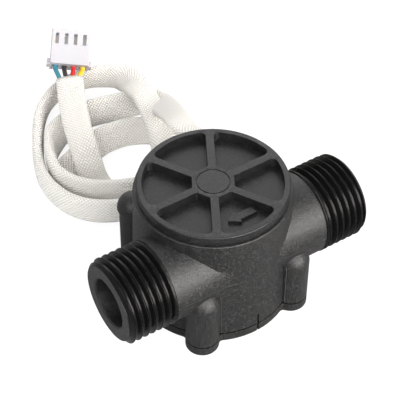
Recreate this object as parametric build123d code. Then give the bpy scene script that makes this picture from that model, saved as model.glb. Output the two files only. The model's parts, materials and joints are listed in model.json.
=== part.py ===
from build123d import *
import os
from math import cos, pi, radians, sin, sqrt, tan

# Water flow sensor with G1/2 male threads, millimetres, +Z up.
# The origin is on the drum's axis, on the underside of the bottom cover.
# Water enters at +X, turns the impeller and leaves at -X.

os.makedirs("parts", exist_ok=True)

# Pipe
PIPE_LENGTH = 66.0
PIPE_Y = -7.4                 # the pipe's axis lies in front of the drum's axis
PIPE_Z = 19.3
PIPE_R = 10.3
THREAD_R = 20.955 / 2         # G1/2 major radius
THREAD_LENGTH = 12.0
END_R = 9.35                  # end face, inside the chamfer that starts the thread
RELIEF_WIDTH = 0.4            # fine groove behind the thread
RELIEF_R = 10.0
BORE_R = 6.0
BORE_CHAMFER = 0.35

# Drum
DRUM_TOP_R = 18.65
DRUM_DRAFT = 1.6              # mould draft of the wall, in degrees
DRUM_TOP_Z = 32.1
CHAMBER_R = 15.3
CHAMBER_ROOF_Z = 25.8
MEMBRANE = 1.4                # wall between the water and the dry chamber
RIM_FILLET = 0.35
ROOF_BOSS_R = 3.0
ROOF_BOSS_H = 0.8

# Screw posts
POST_X = 12.67
FRONT_POST_Y = -15.43
REAR_POST_Y = 15.2
FRONT_POST_R = 4.05
REAR_POST_R = 3.55
POST_DOME_R = 4.05
FRONT_DOME_Z = 14.5
REAR_DOME_Z = 19.7
PILOT_R = 1.3
PILOT_DEPTH = 10.6

# Bottom cover
COVER_T = 2.85
COVER_EDGE_FILLET = 0.45
LOBE_R = 4.05
LOBE_BLEND_R = 1.0
SPIGOT_H = 3.35
SPIGOT_WALL = 2.6
SPIGOT_GAP = 0.1
SHAFT_BOSS_R = 3.0
SHAFT_BOSS_H = 4.15
NOTCH_X = 0.5                 # registration notch at the front of the joint
NOTCH_WIDTH = 0.45
NOTCH_DEPTH = 0.5
NOTCH_H = 3.2

# Cover seal, an O-ring in a groove round the spigot
SEAL_SECTION_R = 0.8
SEAL_GROOVE_DEPTH = 1.6
SEAL_GROOVE_H = 1.8
SEAL_GAP = 0.02

# Cover screws
SCREW_R = 1.25
SCREW_LENGTH = 11.0
SCREW_HEAD_R = 2.4
SCREW_HEAD_H = 1.7
SCREW_HEAD_CLEAR = 0.3
SCREW_HOLE_R = 1.5
SCREW_RECESS = 0.3            # head lies this far inside the cover's face
RECESS_LENGTH = 2.6           # cross recess of the head
RECESS_WIDTH = 0.55
RECESS_DEPTH = 0.8

# Lid
LID_STEP = 0.75               # the lid's side stands this far inside the drum's
LID_RIM = 1.35                # rim between the lid's side and its pockets
LID_TOP_Z = 34.4
LID_FILLET = 0.3
PLUG_WALL = 0.45              # plug outside the pockets
PLUG_GAP = 0.1
PLUG_DEPTH = 1.6
POCKETS = 6
POCKET_DEPTH = 2.4
POCKET_INNER = 4.9            # hub centre to the flat inner side of a pocket
POCKET_OUTER_FILLET = 1.3
POCKET_INNER_FILLET = 0.5
SPOKE_WIDTH = 1.9
HUB_RING_R = 3.87
HUB_RING_WIDTH = 0.25
HUB_RING_DEPTH = 0.25
GATE_ANGLE = 57.0             # injection gate mark on the rim, at the back
GATE_R = 0.4
ARROW_TIP_X = -3.15
ARROW_Y = -11.05
ARROW_HEAD_L = 2.65
ARROW_HEAD_HALF = 1.75
ARROW_SHAFT_L = 4.6
ARROW_SHAFT_HALF = 1.0
ARROW_H = 0.8

# Shaft, bush and thrust washers
SHAFT_R = 1.25
SHAFT_FLOOR_Z = 1.6           # bottom of the blind seat in the cover
SHAFT_SEAT_DEPTH = 1.6        # depth of the seat in the chamber's roof
SHAFT_SEAT_GAP = 0.01
BUSH_CLEARANCE = 0.05
BUSH_R = 2.2
WASHER_INNER_R = 1.35
WASHER_R = 2.8
WASHER_T = 0.4
END_PLAY = 0.3

# Impeller
BLADES = 6
BLADE_R = 14.0
BLADE_T = 1.1
BLADE_SWEEP = 24.0            # angle that a blade trails from root to tip
BLADE_BOTTOM_GAP = 0.9        # blade above the hub's lower end
BLADE_TOP_GAP = 0.5
HUB_R = 7.4
HUB_POCKET_DEPTH = 5.2
MAGNET_R = 6.2
MAGNET_INNER_R = 3.6
MAGNET_H = 4.9
HUB_HOLLOW_H = 8.5            # open recess under the magnet, from below

# Electronics in the dry chamber
BOARD_R = 14.6
BOARD_T = 1.0
BOARD_CUT_Y = -9.0            # the board ends in a straight edge at the front
HALL_Y = 4.9
HALL_SIZE = (4.1, 3.0, 1.5)
RESISTOR_XY = (-7.0, 6.5)
RESISTOR_SIZE = (2.0, 1.25, 0.5)
CAPACITOR_XY = (7.2, 1.0)
CAPACITOR_SIZE = (2.0, 1.25, 0.8)

# Temperature probe in the outlet port
PROBE_ANGLE = 209.6
PROBE_FROM_AXIS = 14.9
PROBE_R = 0.6
PROBE_LENGTH = 5.8
PROBE_HEAD_R = 0.95
PROBE_HEAD_H = 0.9
PROBE_HOLE_GAP = 0.1
PROBE_SEAL_T = 0.6
PROBE_SEAL_R = 0.95

# Cable outlet at the back of the drum
OUTLET_ANGLE = 66.0
OUTLET_Z = 28.65
OUTLET_STEP = 1.35            # boss outside the drum's wall
OUTLET_LAP = 2.0              # boss and slot run this far into the wall
OUTLET_BOSS = (10.6, 5.2)
SLOT = (7.6, 2.8)
GROMMET_FLANGE = (9.0, 4.1)
GROMMET_FLANGE_T = 1.2
GROMMET_GAP = 0.05

# Sleeve: braided sleeve over the four leads, as a plain round tube
SLEEVE_R = 2.3
FLOOR_Z = 2.35                # centre of the sleeve where it lies on the floor
OVER_Z = 9.6                  # centre where it passes over another strand
SLEEVE_EXIT = 3.4             # straight stretch out of the grommet

# Leads and connector
LEAD_WIRE_R = 0.55
LEAD_SPACING = 1.15           # between leads where they leave the sleeve
LEAD_STRAIGHT = 1.5           # straight stretch of a lead at the sleeve and the housing
PIN_PITCH = 2.5
LEADS = ["yellow", "red", "black", "teal"]
HOUSING_CENTRE = (4.2, 78.2, 10.1)     # middle of the face that the leads enter
HOUSING_AXIS = (0.498, 0.687, 0.529)
HOUSING_WIDTH_AXIS = (-0.848, 0.513, 0.133)
HOUSING_L = 9.8
HOUSING_BODY_W = 10.5
HOUSING_EAR_W = 12.3
HOUSING_EAR_L = 1.6
HOUSING_EAR_T = 3.0
HOUSING_T = 5.7
CAVITY = 1.8
WINDOW = (0.95, 3.1)
WINDOW_AT = 7.1
MATING_WALL = 0.6             # end wall with the pin entries
PIN_ENTRY = 1.0
KEY_RIB = (0.9, 0.6)
CONTACT = 1.6
CONTACT_L = 4.6
CONTACT_WALL = 0.25
CONTACT_GAP = 0.2             # contact to the housing's end wall
BARREL_R = 0.75
BARREL_L = 2.2

# Values that follow from the sizes above
MEMBRANE_TOP_Z = CHAMBER_ROOF_Z + MEMBRANE
DRUM_BOTTOM_R = DRUM_TOP_R + (DRUM_TOP_Z - COVER_T) * tan(radians(DRUM_DRAFT))
COVER_R = DRUM_BOTTOM_R
LID_R = DRUM_TOP_R - LID_STEP
POCKET_OUTER_R = LID_R - LID_RIM
DRY_R = POCKET_OUTER_R + PLUG_WALL + PLUG_GAP
OUTLET_FACE_R = DRUM_TOP_R + OUTLET_STEP
LOWER_BOSS_Z = COVER_T + SHAFT_BOSS_H
UPPER_BOSS_Z = CHAMBER_ROOF_Z - ROOF_BOSS_H
HUB_BOTTOM_Z = LOWER_BOSS_Z + WASHER_T + END_PLAY
HUB_TOP_Z = UPPER_BOSS_Z - WASHER_T - END_PLAY
POCKET_FLOOR_Z = LID_TOP_Z - POCKET_DEPTH
THREAD_START_X = PIPE_LENGTH / 2 - THREAD_LENGTH
SPIGOT_R = CHAMBER_R - SPIGOT_GAP
UP = Vector(0, 0, 1)


def rod(radius, low, high, x=0.0, y=0.0):
    """A vertical cylinder between two heights."""
    base = Cylinder(radius, high - low, align=(Align.CENTER, Align.CENTER, Align.MIN))
    return Pos(x, y, low) * base


def tube(outer, inner, low, high, x=0.0, y=0.0):
    """A vertical tube between two heights."""
    return rod(outer, low, high, x, y) - rod(inner, low, high, x, y)


def block(size, low, x=0.0, y=0.0):
    """A box that stands on a height."""
    box = Box(size[0], size[1], size[2], align=(Align.CENTER, Align.CENTER, Align.MIN))
    return Pos(x, y, low) * box


def one_solid(shape):
    """The largest solid of a shape, without its wrapping."""
    return max(shape.solids(), key=lambda solid: solid.volume)


def post_places():
    """The four screw posts as (name, x, y, radius, height of the dome's centre)."""
    places = []
    for side, x in (("left", -POST_X), ("right", POST_X)):
        places.append((f"front_{side}", x, FRONT_POST_Y, FRONT_POST_R, FRONT_DOME_Z))
        places.append((f"rear_{side}", x, REAR_POST_Y, REAR_POST_R, REAR_DOME_Z))
    return places


def outlet_plane(distance):
    """A plane across the cable outlet, at a distance from the drum's axis."""
    outward = Vector(cos(radians(OUTLET_ANGLE)), sin(radians(OUTLET_ANGLE)), 0)
    across = UP.cross(outward)
    return Plane(origin=outward * distance + UP * OUTLET_Z, x_dir=across, z_dir=outward)


def end_cone():
    """What the 45 degree chamfer and the end face leave of one end, as a long turned blank."""
    end = PIPE_LENGTH / 2
    outline = [(0, 0), (0, END_R + end), (end, END_R), (end, 0)]
    return revolve(make_face(Polyline(*outline, close=True)), axis=Axis.X)


def pipe_outside():
    """Both ends at the thread's major radius and the plain middle, turned about the pipe's axis."""
    end = PIPE_LENGTH / 2
    half = [
        (0, PIPE_R),
        (THREAD_START_X - RELIEF_WIDTH, PIPE_R),
        (THREAD_START_X - RELIEF_WIDTH, RELIEF_R),
        (THREAD_START_X, RELIEF_R),
        (THREAD_START_X, THREAD_R),
        (end + 1, THREAD_R),
        (end + 1, 0),
    ]
    mirrored = [(-x, r) for x, r in reversed(half[1:])]
    profile = make_face(Polyline(*(mirrored + half), close=True))
    cones = end_cone() + mirror(end_cone(), Plane.YZ)
    return Pos(0, PIPE_Y, PIPE_Z) * (revolve(profile, axis=Axis.X) & cones)


def pipe_bore():
    """The flow bore through both ends, with a chamfered mouth at each."""
    end = PIPE_LENGTH / 2
    mouth = BORE_R + BORE_CHAMFER
    half = [(0, BORE_R), (end - BORE_CHAMFER, BORE_R), (end, mouth), (end + 1, mouth), (end + 1, 0)]
    mirrored = [(-x, r) for x, r in reversed(half[1:])]
    profile = make_face(Polyline(*(mirrored + half), close=True))
    return Pos(0, PIPE_Y, PIPE_Z) * revolve(profile, axis=Axis.X)


def build_body():
    """The one moulding: pipe, drum, screw posts and cable outlet."""
    outline = [(0, COVER_T), (DRUM_BOTTOM_R, COVER_T), (DRUM_TOP_R, DRUM_TOP_Z), (0, DRUM_TOP_Z)]
    drum = revolve(Plane.XZ * make_face(Polyline(*outline, close=True)), axis=Axis.Z)
    rim = drum.edges().group_by(Axis.Z)[-1]
    drum = fillet(rim, RIM_FILLET)
    body = drum + pipe_outside()
    for _, x, y, radius, dome_z in post_places():
        body += rod(radius, COVER_T, dome_z, x, y)
        dome = Sphere(POST_DOME_R) & block([2 * POST_DOME_R] * 3, 0)
        body += Pos(x, y, dome_z) * dome
    pad_start = OUTLET_FACE_R - OUTLET_STEP - OUTLET_LAP
    pad = outlet_plane(pad_start) * RectangleRounded(*OUTLET_BOSS, OUTLET_BOSS[1] / 2 - 0.1)
    body += extrude(pad, OUTLET_FACE_R - pad_start)

    body -= rod(CHAMBER_R, 0, CHAMBER_ROOF_Z)
    body += rod(ROOF_BOSS_R, UPPER_BOSS_Z, CHAMBER_ROOF_Z)
    body -= rod(DRY_R, MEMBRANE_TOP_Z, DRUM_TOP_Z + 1)
    body -= pipe_bore()
    body -= rod(SHAFT_R + SHAFT_SEAT_GAP, UPPER_BOSS_Z, UPPER_BOSS_Z + SHAFT_SEAT_DEPTH)
    for _, x, y, _, _ in post_places():
        body -= rod(PILOT_R, COVER_T, COVER_T + PILOT_DEPTH, x, y)
    slot = outlet_plane(DRY_R - OUTLET_LAP) * RectangleRounded(*SLOT, SLOT[1] / 2 - 0.05)
    body -= extrude(slot, OUTLET_FACE_R - DRY_R + 2 * OUTLET_LAP)
    probe = probe_place()
    body -= rod(PROBE_R + PROBE_HOLE_GAP, PIPE_Z, MEMBRANE_TOP_Z, *probe)
    body -= rod(PROBE_SEAL_R, MEMBRANE_TOP_Z - PROBE_SEAL_T, MEMBRANE_TOP_Z, *probe)
    body -= registration_notch(COVER_T, NOTCH_H)
    return one_solid(body)


def registration_notch(low, height):
    """A fine slot cut in the wall's outside at the front, from one height up."""
    deep = DRUM_BOTTOM_R - NOTCH_DEPTH + 1
    return block((NOTCH_WIDTH, 2, height), low, NOTCH_X, -deep)


def build_bottom_cover():
    """The plate with four lobes, its spigot and the lower seat of the shaft."""
    outline = Circle(COVER_R)
    for _, x, y, _, _ in post_places():
        outline += Pos(x, y) * Circle(LOBE_R)
    plate = extrude(fillet(outline.vertices(), LOBE_BLEND_R), COVER_T)
    plate = fillet(plate.edges().group_by(Axis.Z)[0], COVER_EDGE_FILLET)
    cover = plate + tube(SPIGOT_R, SPIGOT_R - SPIGOT_WALL, COVER_T, COVER_T + SPIGOT_H)
    groove_low = COVER_T + (SPIGOT_H - SEAL_GROOVE_H) / 2
    cover -= tube(SPIGOT_R + 1, SPIGOT_R - SEAL_GROOVE_DEPTH, groove_low, groove_low + SEAL_GROOVE_H)
    cover += rod(SHAFT_BOSS_R, COVER_T, LOWER_BOSS_Z)
    cover -= rod(SHAFT_R + SHAFT_SEAT_GAP, SHAFT_FLOOR_Z, LOWER_BOSS_Z)
    for _, x, y, _, _ in post_places():
        cover -= rod(SCREW_HOLE_R, 0, COVER_T, x, y)
        cover -= rod(SCREW_HEAD_R + SCREW_HEAD_CLEAR, 0, SCREW_RECESS + SCREW_HEAD_H, x, y)
    cover -= registration_notch(0, COVER_T)
    return one_solid(cover)


def build_cover_seal():
    """The O-ring in the spigot's groove."""
    middle_r = SPIGOT_R - SEAL_GROOVE_DEPTH + SEAL_SECTION_R + SEAL_GAP
    return Pos(0, 0, COVER_T + SPIGOT_H / 2) * Torus(middle_r, SEAL_SECTION_R)


def build_cover_screw(x, y):
    """A self-tapping screw, head down, with a cross recess."""
    head_top = SCREW_RECESS + SCREW_HEAD_H
    screw = rod(SCREW_HEAD_R, SCREW_RECESS, head_top) + rod(SCREW_R, head_top, head_top + SCREW_LENGTH - 1)
    tip = Cone(SCREW_R, SCREW_R / 3, 1, align=(Align.CENTER, Align.CENTER, Align.MIN))
    screw += Pos(0, 0, head_top + SCREW_LENGTH - 1) * tip
    screw -= block((RECESS_LENGTH, RECESS_WIDTH, RECESS_DEPTH), SCREW_RECESS)
    screw -= block((RECESS_WIDTH, RECESS_LENGTH, RECESS_DEPTH), SCREW_RECESS)
    return Pos(x, y, 0) * one_solid(screw)


def lid_pocket():
    """One pocket's outline on the +X side: an outer arc, two spoke sides, a flat inner side."""
    half = pi / POCKETS
    side = Vector(cos(half), sin(half))
    inward = Vector(sin(half), -cos(half)) * (SPOKE_WIDTH / 2)
    outer = side * sqrt(POCKET_OUTER_R ** 2 - (SPOKE_WIDTH / 2) ** 2) + inward
    inner = side * ((POCKET_INNER - inward.X) / cos(half)) + inward
    lines = [
        Line((inner.X, -inner.Y), (inner.X, inner.Y)),
        Line((inner.X, inner.Y), (outer.X, outer.Y)),
        ThreePointArc((outer.X, outer.Y), (POCKET_OUTER_R, 0), (outer.X, -outer.Y)),
        Line((outer.X, -outer.Y), (inner.X, -inner.Y)),
    ]
    outline = make_face(lines)
    corners = outline.vertices().group_by(Axis.X)
    outline = fillet(corners[-1], POCKET_OUTER_FILLET)
    return fillet(outline.vertices().group_by(Axis.X)[0], POCKET_INNER_FILLET)


def flow_arrow():
    """The raised arrow in the front pocket; it points the way the water leaves."""
    base_x = ARROW_TIP_X + ARROW_HEAD_L
    tail_x = base_x + ARROW_SHAFT_L
    half = [(ARROW_TIP_X, 0), (base_x, ARROW_HEAD_HALF), (base_x, ARROW_SHAFT_HALF), (tail_x, ARROW_SHAFT_HALF)]
    mirrored = [(x, -y) for x, y in reversed(half[1:])]
    outline = make_face(Polyline(*(half + mirrored), close=True))
    return Pos(0, ARROW_Y, POCKET_FLOOR_Z) * extrude(outline, ARROW_H)


def build_top_cover():
    """The lid with six pockets, spokes, hub ring and the flow arrow."""
    disc = rod(LID_R, DRUM_TOP_Z, LID_TOP_Z)
    disc = fillet(disc.edges().group_by(Axis.Z)[-1], LID_FILLET)
    lid = disc + rod(DRY_R - PLUG_GAP, DRUM_TOP_Z - PLUG_DEPTH, DRUM_TOP_Z)
    gate = Vector(LID_R - GATE_R / 2, 0).rotate(Axis.Z, GATE_ANGLE)
    lid += rod(GATE_R, DRUM_TOP_Z, LID_TOP_Z - LID_FILLET, gate.X, gate.Y)
    pocket = extrude(lid_pocket(), POCKET_DEPTH)
    for index in range(POCKETS):
        angle = (index + 0.5) * 360 / POCKETS
        lid -= Pos(0, 0, POCKET_FLOOR_Z) * Rot(0, 0, angle) * pocket
    groove = tube(HUB_RING_R + HUB_RING_WIDTH / 2, HUB_RING_R - HUB_RING_WIDTH / 2,
                  LID_TOP_Z - HUB_RING_DEPTH, LID_TOP_Z)
    lid -= groove
    lid += flow_arrow()
    return one_solid(lid)


def build_shaft():
    """The fixed steel shaft between the cover and the chamber's roof."""
    return rod(SHAFT_R, SHAFT_FLOOR_Z, UPPER_BOSS_Z + SHAFT_SEAT_DEPTH)


def blade_outline():
    """One blade's outline: a curved vane from the hub to the tip."""
    root = HUB_R - 0.6
    middle = (root + BLADE_R) / 2

    def point(radius, share, offset):
        angle = radians(-BLADE_SWEEP * share * share)
        along = Vector(cos(angle), sin(angle))
        return along * radius + Vector(-sin(angle), cos(angle)) * offset

    half = BLADE_T / 2
    outer = [point(root, 0, half), point(middle, 0.5, half), point(BLADE_R, 1, half)]
    inner = [point(BLADE_R, 1, -half), point(middle, 0.5, -half), point(root, 0, -half)]
    lines = [ThreePointArc(*outer), Line(outer[2], inner[0]), ThreePointArc(*inner), Line(inner[2], outer[0])]
    return make_face(lines)


def build_impeller():
    """Hub and six trailing blades, with a pocket for the magnet."""
    impeller = rod(HUB_R, HUB_BOTTOM_Z, HUB_TOP_Z)
    blade_low = HUB_BOTTOM_Z + BLADE_BOTTOM_GAP
    blade_height = HUB_TOP_Z - BLADE_TOP_GAP - blade_low
    blade = extrude(blade_outline(), blade_height)
    for index in range(BLADES):
        impeller += Pos(0, 0, blade_low) * Rot(0, 0, index * 360 / BLADES) * blade
    impeller -= tube(MAGNET_R, MAGNET_INNER_R, HUB_TOP_Z - HUB_POCKET_DEPTH, HUB_TOP_Z)
    impeller -= tube(MAGNET_R, MAGNET_INNER_R, HUB_BOTTOM_Z, HUB_BOTTOM_Z + HUB_HOLLOW_H)
    impeller -= rod(BUSH_R, HUB_BOTTOM_Z, HUB_TOP_Z)
    return one_solid(impeller)


def build_magnet_ring():
    """The ring magnet, seated on the floor of the hub's pocket."""
    low = HUB_TOP_Z - HUB_POCKET_DEPTH
    return tube(MAGNET_R, MAGNET_INNER_R, low, low + MAGNET_H)


def build_impeller_bush():
    """The bush pressed into the hub; it turns on the shaft."""
    return tube(BUSH_R, SHAFT_R + BUSH_CLEARANCE, HUB_BOTTOM_Z, HUB_TOP_Z)


def build_thrust_washer(low):
    """A thrust washer on the shaft, seated against its boss."""
    return tube(WASHER_R, WASHER_INNER_R, low, low + WASHER_T)


def probe_place():
    """Where the temperature probe stands in plan."""
    angle = radians(PROBE_ANGLE)
    return PROBE_FROM_AXIS * cos(angle), PROBE_FROM_AXIS * sin(angle)


def build_temperature_probe():
    """The sensing pin, hung through the membrane into the outlet port."""
    x, y = probe_place()
    probe = rod(PROBE_R, MEMBRANE_TOP_Z - PROBE_LENGTH, MEMBRANE_TOP_Z, x, y)
    probe += rod(PROBE_HEAD_R, MEMBRANE_TOP_Z, MEMBRANE_TOP_Z + PROBE_HEAD_H, x, y)
    tip = probe.edges().group_by(Axis.Z)[0]
    return one_solid(fillet(tip, PROBE_R * 0.8))


def build_probe_seal():
    """The small ring under the probe's head."""
    x, y = probe_place()
    return tube(PROBE_SEAL_R, PROBE_R, MEMBRANE_TOP_Z - PROBE_SEAL_T, MEMBRANE_TOP_Z, x, y)


def build_sensor_board():
    """The round board with a straight front edge, on the membrane."""
    board = rod(BOARD_R, MEMBRANE_TOP_Z, MEMBRANE_TOP_Z + BOARD_T)
    length = BOARD_R + BOARD_CUT_Y
    board -= block((2 * BOARD_R, length, BOARD_T), MEMBRANE_TOP_Z, 0, BOARD_CUT_Y - length / 2)
    x, y = probe_place()
    board -= rod(PROBE_HEAD_R + 0.2, MEMBRANE_TOP_Z, MEMBRANE_TOP_Z + BOARD_T, x, y)
    return one_solid(board)


def on_board(size, x, y):
    """A plain component that stands on the board."""
    return block(size, MEMBRANE_TOP_Z + BOARD_T, x, y)


def build_cable_grommet():
    """The rubber plug in the outlet's slot, with a flange outside."""
    tight = (SLOT[0] - 2 * GROMMET_GAP, SLOT[1] - 2 * GROMMET_GAP)
    start = outlet_plane(DRY_R) * RectangleRounded(*tight, tight[1] / 2 - 0.05)
    stem = extrude(start, OUTLET_FACE_R - DRY_R)
    face = outlet_plane(OUTLET_FACE_R) * RectangleRounded(*GROMMET_FLANGE, GROMMET_FLANGE[1] / 2 - 0.1)
    return one_solid(stem + extrude(face, GROMMET_FLANGE_T))


def sleeve_route():
    """The sleeve's route, chosen by hand, from the outlet to its cut end."""
    face = OUTLET_FACE_R + GROMMET_FLANGE_T
    low = FLOOR_Z
    over = OVER_Z
    return [
        tuple(outlet_plane(face).origin),
        tuple(outlet_plane(face + SLEEVE_EXIT).origin),
        (12.2, 27.8, 26.4),
        (14.6, 34.2, 21.6),
        (17.0, 41.2, 14.8),
        (19.9, 48.6, 8.4),
        (22.8, 55.8, low + 1.2),
        (20.8, 62.8, low),
        (13.6, 66.6, low),
        (5.2, 67.4, low),
        (-3.4, 66.6, low),
        (-11.0, 62.6, low),
        (-15.6, 55.6, low),
        (-16.4, 47.2, low),
        (-13.2, 39.6, low),
        (-6.0, 35.2, low),
        (2.2, 33.0, low + 0.2),
        (9.4, 35.2, low + 3.0),
        (12.4, 42.2, low + 6.4),
        (13.6, 49.8, over + 0.6),
        (15.6, 57.6, over + 0.9),
        (17.6, 65.4, over - 0.2),
        (16.4, 72.4, low + 3.6),
        (11.0, 77.8, low + 0.3),
        (3.4, 79.6, low),
        (-4.2, 77.4, low),
        (-10.8, 72.0, low),
        (-16.0, 65.2, low),
        (-20.0, 57.4, low),
        (-21.8, 49.0, low),
        (-20.8, 40.6, low),
        (-15.8, 33.8, low),
        (-8.4, 29.6, low),
        (0.0, 27.0, low),
        (8.4, 26.0, low),
        (16.2, 29.0, low),
        (20.2, 36.2, low),
        (18.6, 44.2, low),
        (13.0, 50.4, low),
        (5.2, 53.6, low),
        (-2.6, 54.8, low),
        (-8.8, 53.0, low),
        (-11.0, 48.6, low),
        (-10.0, 43.8, low + 0.9),
        (-6.7, 41.1, over - 3.7),
        (-3.4, 43.6, over - 0.3),
        (-3.6, 49.2, over + 0.4),
        (-4.0, 57.0, over + 0.4),
        (-2.0, 65.6, over + 0.4),
        (1.7, 73.4, over + 0.6),
    ]


def arc_radii(points):
    """One arc's radius for each corner of a route, as large as its runs allow."""
    radii = []
    for before, corner, after in zip(points, points[1:], points[2:]):
        first = Vector(*corner) - Vector(*before)
        second = Vector(*after) - Vector(*corner)
        turn = radians(first.get_angle(second))
        radii.append(0.45 * min(first.length, second.length) / tan(turn / 2))
    return radii


def swept_rod(points, radius):
    """A round rod along straight runs joined by tangent arcs."""
    radii = arc_radii(points)
    path = FilletPolyline(*points, radius=radii)
    start = Plane(origin=path @ 0, z_dir=path % 0)
    solid = one_solid(sweep(start * Circle(radius), path=path))
    return solid, path.length, min(radii)


def build_sleeve():
    """The braided sleeve as a plain round tube along its whole route."""
    solid, length, tightest = swept_rod(sleeve_route(), SLEEVE_R)
    expected = pi * SLEEVE_R ** 2 * length
    print(f"sleeve: length {length:.1f}, tightest arc {tightest:.1f}, volume ratio {solid.volume / expected:.4f}")
    return solid


def housing_frame():
    """The connector housing's plane: x across the leads, y through its thickness, z along it."""
    return Plane(origin=HOUSING_CENTRE, x_dir=HOUSING_WIDTH_AXIS, z_dir=HOUSING_AXIS)


def pin_places():
    """Each lead's offset across the housing, in pin pitches from its middle."""
    middle = (len(LEADS) - 1) / 2
    return [index - middle for index in range(len(LEADS))]


def build_connector_housing():
    """A four-way housing with contact cavities, latch windows and side ears."""
    housing = block((HOUSING_BODY_W, HOUSING_T, HOUSING_L), 0)
    housing = fillet(housing.edges().filter_by(Axis.Z), 0.3)
    housing += block((HOUSING_EAR_W, HOUSING_EAR_T, HOUSING_EAR_L), 0)
    for side in (-1, 1):
        rib_x = side * (HOUSING_BODY_W - KEY_RIB[0]) / 2
        rib_y = -(HOUSING_T + KEY_RIB[1]) / 2
        housing += block((KEY_RIB[0], KEY_RIB[1], HOUSING_L), 0, rib_x, rib_y)
    for place in pin_places():
        x = place * PIN_PITCH
        housing -= block((CAVITY, CAVITY, HOUSING_L - MATING_WALL), 0, x)
        housing -= block((PIN_ENTRY, PIN_ENTRY, MATING_WALL), HOUSING_L - MATING_WALL, x)
        window = block((WINDOW[0], HOUSING_T, WINDOW[1]), WINDOW_AT - WINDOW[1] / 2, x, HOUSING_T / 2)
        housing -= window
    return housing_frame() * one_solid(housing)


def build_terminal(place):
    """A crimp contact: a square box and a barrel round its lead."""
    x = place * PIN_PITCH
    top = HOUSING_L - MATING_WALL - CONTACT_GAP
    low = top - CONTACT_L
    inside = CONTACT - 2 * CONTACT_WALL
    contact = block((CONTACT, CONTACT, CONTACT_L), low, x)
    contact -= block((inside, inside, CONTACT_L - CONTACT_WALL), low + CONTACT_WALL, x)
    contact += rod(BARREL_R, low - BARREL_L, low, x) - rod(LEAD_WIRE_R, low - BARREL_L, low, x)
    return housing_frame() * one_solid(contact)


def sleeve_end_frame():
    """The plane of the sleeve's cut end, x across the flat row of leads."""
    points = sleeve_route()
    forward = (Vector(*points[-1]) - Vector(*points[-2])).normalized()
    across = UP.cross(forward).normalized()
    return Plane(origin=points[-1], x_dir=across, z_dir=forward)


def build_lead(place):
    """One lead's free end, from the sleeve's cut end into its contact."""
    start = sleeve_end_frame()
    end = housing_frame()
    contact_low = HOUSING_L - MATING_WALL - CONTACT_GAP - CONTACT_L
    points = [
        start.from_local_coords((place * LEAD_SPACING, 0, 0)),
        start.from_local_coords((place * LEAD_SPACING, 0, LEAD_STRAIGHT)),
        end.from_local_coords((place * PIN_PITCH, 0, -LEAD_STRAIGHT)),
        end.from_local_coords((place * PIN_PITCH, 0, contact_low)),
    ]
    solid, _, _ = swept_rod([tuple(point) for point in points], LEAD_WIRE_R)
    return solid


def build_parts():
    """Every node's name and shape."""
    parts = {
        "body": build_body(),
        "top_cover": build_top_cover(),
        "bottom_cover": build_bottom_cover(),
        "cover_seal": build_cover_seal(),
        "shaft": build_shaft(),
        "lower_thrust_washer": build_thrust_washer(LOWER_BOSS_Z),
        "upper_thrust_washer": build_thrust_washer(UPPER_BOSS_Z - WASHER_T),
        "impeller": build_impeller(),
        "impeller_bush": build_impeller_bush(),
        "magnet_ring": build_magnet_ring(),
        "temperature_probe": build_temperature_probe(),
        "probe_seal": build_probe_seal(),
        "sensor_board": build_sensor_board(),
        "hall_element": on_board(HALL_SIZE, 0, HALL_Y),
        "board_resistor": on_board(RESISTOR_SIZE, *RESISTOR_XY),
        "board_capacitor": on_board(CAPACITOR_SIZE, *CAPACITOR_XY),
        "cable_grommet": build_cable_grommet(),
        "sleeve": build_sleeve(),
        "connector_housing": build_connector_housing(),
    }
    for name, x, y, _, _ in post_places():
        parts[f"cover_screw_{name}"] = build_cover_screw(x, y)
    for colour, place in zip(LEADS, pin_places()):
        parts[f"lead_{colour}"] = build_lead(place)
        parts[f"terminal_{colour}"] = build_terminal(place)
    return parts


for node, shape in build_parts().items():
    export_step(shape, f"parts/{node}.step")
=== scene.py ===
"""Looks for a water flow sensor: body with two threaded ends, ribbed lid, braided sleeve and plug."""

import json
import logging
import math
from collections.abc import Callable
from dataclasses import dataclass, field
from enum import Enum

import bmesh
import bpy
from mathutils import Matrix, Vector

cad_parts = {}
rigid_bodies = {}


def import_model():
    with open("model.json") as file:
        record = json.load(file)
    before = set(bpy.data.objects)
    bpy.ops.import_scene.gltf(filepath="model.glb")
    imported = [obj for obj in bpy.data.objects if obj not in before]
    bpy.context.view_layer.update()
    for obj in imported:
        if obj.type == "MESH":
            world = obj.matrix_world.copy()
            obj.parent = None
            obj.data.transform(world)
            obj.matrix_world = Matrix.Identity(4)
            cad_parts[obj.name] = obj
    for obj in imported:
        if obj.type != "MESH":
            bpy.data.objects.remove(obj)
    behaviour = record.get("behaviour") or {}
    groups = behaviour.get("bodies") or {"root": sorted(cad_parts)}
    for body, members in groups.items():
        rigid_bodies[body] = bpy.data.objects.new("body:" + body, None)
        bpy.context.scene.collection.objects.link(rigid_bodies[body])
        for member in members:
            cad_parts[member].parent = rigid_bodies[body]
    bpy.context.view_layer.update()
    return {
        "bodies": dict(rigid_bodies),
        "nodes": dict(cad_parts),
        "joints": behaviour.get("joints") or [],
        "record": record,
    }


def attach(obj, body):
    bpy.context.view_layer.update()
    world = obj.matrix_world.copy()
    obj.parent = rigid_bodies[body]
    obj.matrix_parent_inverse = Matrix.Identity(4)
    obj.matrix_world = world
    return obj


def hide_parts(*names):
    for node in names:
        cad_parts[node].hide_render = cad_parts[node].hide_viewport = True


LOG = logging.getLogger("flow_sensor")
MM = 0.001
UP = Vector((0.0, 0.0, 1.0))
HOUSING = "housing"
# The pipe's axis, and the height at which the body meets its base cover, in millimetres.
PIPE_Y = -7.4
PIPE_Z = 19.3
JOINT_Z = 2.85
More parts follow.
